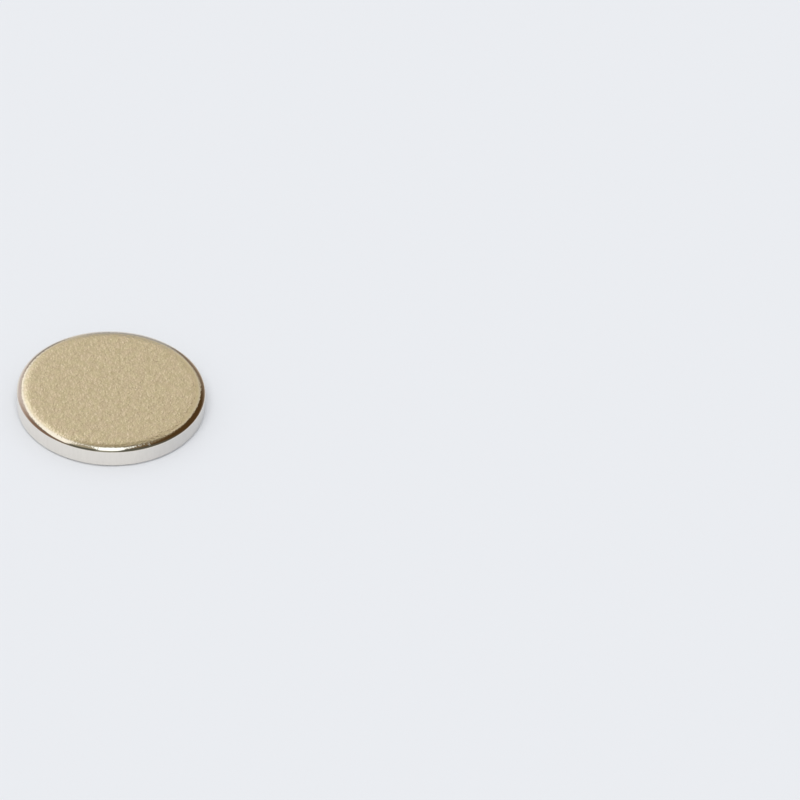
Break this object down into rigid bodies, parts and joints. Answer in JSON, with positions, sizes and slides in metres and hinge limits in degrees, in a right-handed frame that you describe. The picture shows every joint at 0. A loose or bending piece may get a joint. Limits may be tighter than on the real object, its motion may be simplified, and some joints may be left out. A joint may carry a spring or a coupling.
{
  "type": "disc magnet",
  "caption": "Flat round nickel-plated permanent magnet with rolled edges, magnetised through its thickness, for holding or closing small things.",
  "frame": {"origin": "centre of the lower flat face, where the disc rests", "axes": "+Z along the disc's axis, from the lower face to the upper one, which is also the direction of magnetisation; X and Y are any two directions across the disc"},
  "size_m": [0.008, 0.008, 0.0009],
  "materials": {
    "nickel_plate": "matte ground faces, bright tumbled edges, warm nickel"
  },
  "bodies": {
    "root": {"magnet_disc": "nickel_plate"}
  },
  "joints": []
}
